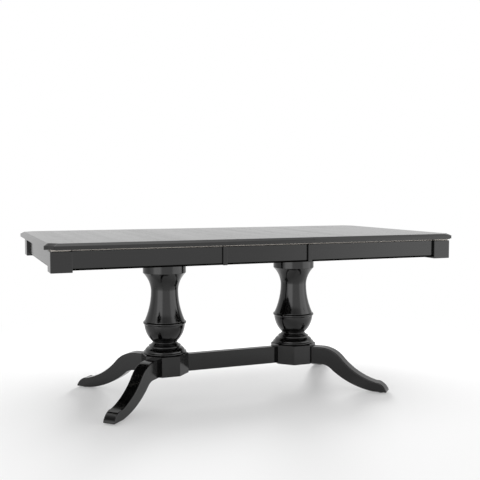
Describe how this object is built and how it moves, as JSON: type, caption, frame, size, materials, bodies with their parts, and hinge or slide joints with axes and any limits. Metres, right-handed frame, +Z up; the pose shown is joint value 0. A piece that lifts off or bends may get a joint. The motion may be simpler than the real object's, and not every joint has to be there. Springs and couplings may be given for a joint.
{
  "type": "double pedestal dining table",
  "caption": "Rectangular extension dining table with clipped bevelled corners, block-cornered apron, removable centre leaf and turned twin pedestals on curved feet joined by a stretcher.",
  "frame": {"origin": "on the floor, under the middle of the table top", "axes": "+X along the length of the top, +Y from front to back, +Z up"},
  "size_m": [1.828, 0.965, 0.749],
  "materials": {
    "black_lacquer": "satin black lacquer on wood",
    "dark_hardwood": "planed hardwood under a dark stain, not lacquered",
    "bare_hardwood": "planed hardwood, left bare",
    "zinc_steel": "zinc plated",
    "nylon": "moulded nylon",
    "glide_plastic": "moulded dark plastic"
  },
  "bodies": {
    "base": {"base_block_left": "black_lacquer", "base_block_right": "black_lacquer", "bearer_left": "dark_hardwood", "bearer_right": "dark_hardwood", "centre_bearer": "dark_hardwood", "column_left": "black_lacquer", "column_right": "black_lacquer", "flange_nuts": "zinc_steel", "foot_back_left": "black_lacquer", "foot_back_right": "black_lacquer", "foot_front_left": "black_lacquer", "foot_front_right": "black_lacquer", "foot_glides": "glide_plastic", "leg_bolts": "zinc_steel", "leg_dowels": "bare_hardwood", "pinion_pin": "zinc_steel", "rail_back": "dark_hardwood", "rail_front": "dark_hardwood", "rail_screws": "zinc_steel", "stretcher": "black_lacquer", "tie_rods": "zinc_steel"},
    "left_top": {"apron_back_left": "black_lacquer", "apron_end_left": "black_lacquer", "apron_front_left": "black_lacquer", "cleats_left": "bare_hardwood", "corner_block_back_left": "black_lacquer", "corner_block_front_left": "black_lacquer", "joint_strips_left": "black_lacquer", "latch_pivots_left": "zinc_steel", "locator_pins_left": "dark_hardwood", "rack_left": "nylon", "runner_back_left": "dark_hardwood", "runner_front_left": "dark_hardwood", "top_left": "black_lacquer", "top_screws_left": "zinc_steel"},
    "right_top": {"apron_back_right": "black_lacquer", "apron_end_right": "black_lacquer", "apron_front_right": "black_lacquer", "cleats_right": "bare_hardwood", "corner_block_back_right": "black_lacquer", "corner_block_front_right": "black_lacquer", "latch_pivots_right": "zinc_steel", "locator_pins_right": "dark_hardwood", "rack_right": "nylon", "runner_back_right": "dark_hardwood", "runner_front_right": "dark_hardwood", "top_right": "black_lacquer", "top_screws_right": "zinc_steel"},
    "leaf": {"top_leaf": "black_lacquer", "apron_front_leaf": "black_lacquer", "apron_back_leaf": "black_lacquer", "joint_strips_leaf": "black_lacquer", "leaf_battens": "bare_hardwood", "latch_keepers": "zinc_steel"},
    "equaliser_pinion": {"pinion": "nylon"},
    "latch_front_left": {"latch_front_left": "zinc_steel"},
    "latch_back_left": {"latch_back_left": "zinc_steel"},
    "latch_front_right": {"latch_front_right": "zinc_steel"},
    "latch_back_right": {"latch_back_right": "zinc_steel"}
  },
  "joints": [
    {"name": "left_top_slide", "type": "slide", "parent": "base", "child": "left_top", "axis": [-1, 0, 0], "range_m": [0, 0.06]},
    {"name": "right_top_slide", "type": "slide", "parent": "base", "child": "right_top", "axis": [1, 0, 0], "range_m": [0, 0.06]},
    {"name": "pinion_spin", "type": "hinge", "parent": "base", "child": "equaliser_pinion", "pos_m": [0, 0, 0.6955], "axis": [0, 0, 1], "range_deg": [0, 144]},
    {"name": "leaf_lift", "type": "slide", "parent": "base", "child": "leaf", "axis": [0, 0, 1], "range_m": [0, 0.3]},
    {"name": "latch_front_left_swing", "type": "hinge", "parent": "left_top", "child": "latch_front_left", "pos_m": [-0.22675, -0.372, 0.7175], "axis": [0, 0, -1], "range_deg": [0, 90]},
    {"name": "latch_back_left_swing", "type": "hinge", "parent": "left_top", "child": "latch_back_left", "pos_m": [-0.22675, 0.372, 0.7175], "axis": [0, 0, 1], "range_deg": [0, 90]},
    {"name": "latch_front_right_swing", "type": "hinge", "parent": "right_top", "child": "latch_front_right", "pos_m": [0.22675, -0.372, 0.7175], "axis": [0, 0, 1], "range_deg": [0, 90]},
    {"name": "latch_back_right_swing", "type": "hinge", "parent": "right_top", "child": "latch_back_right", "pos_m": [0.22675, 0.372, 0.7175], "axis": [0, 0, -1], "range_deg": [0, 90]}
  ],
  "couplings": [
    {"joint": "right_top_slide", "follows": "left_top_slide", "ratio": 1},
    {"joint": "pinion_spin", "follows": "left_top_slide", "rad_per_m": 41.667}
  ]
}
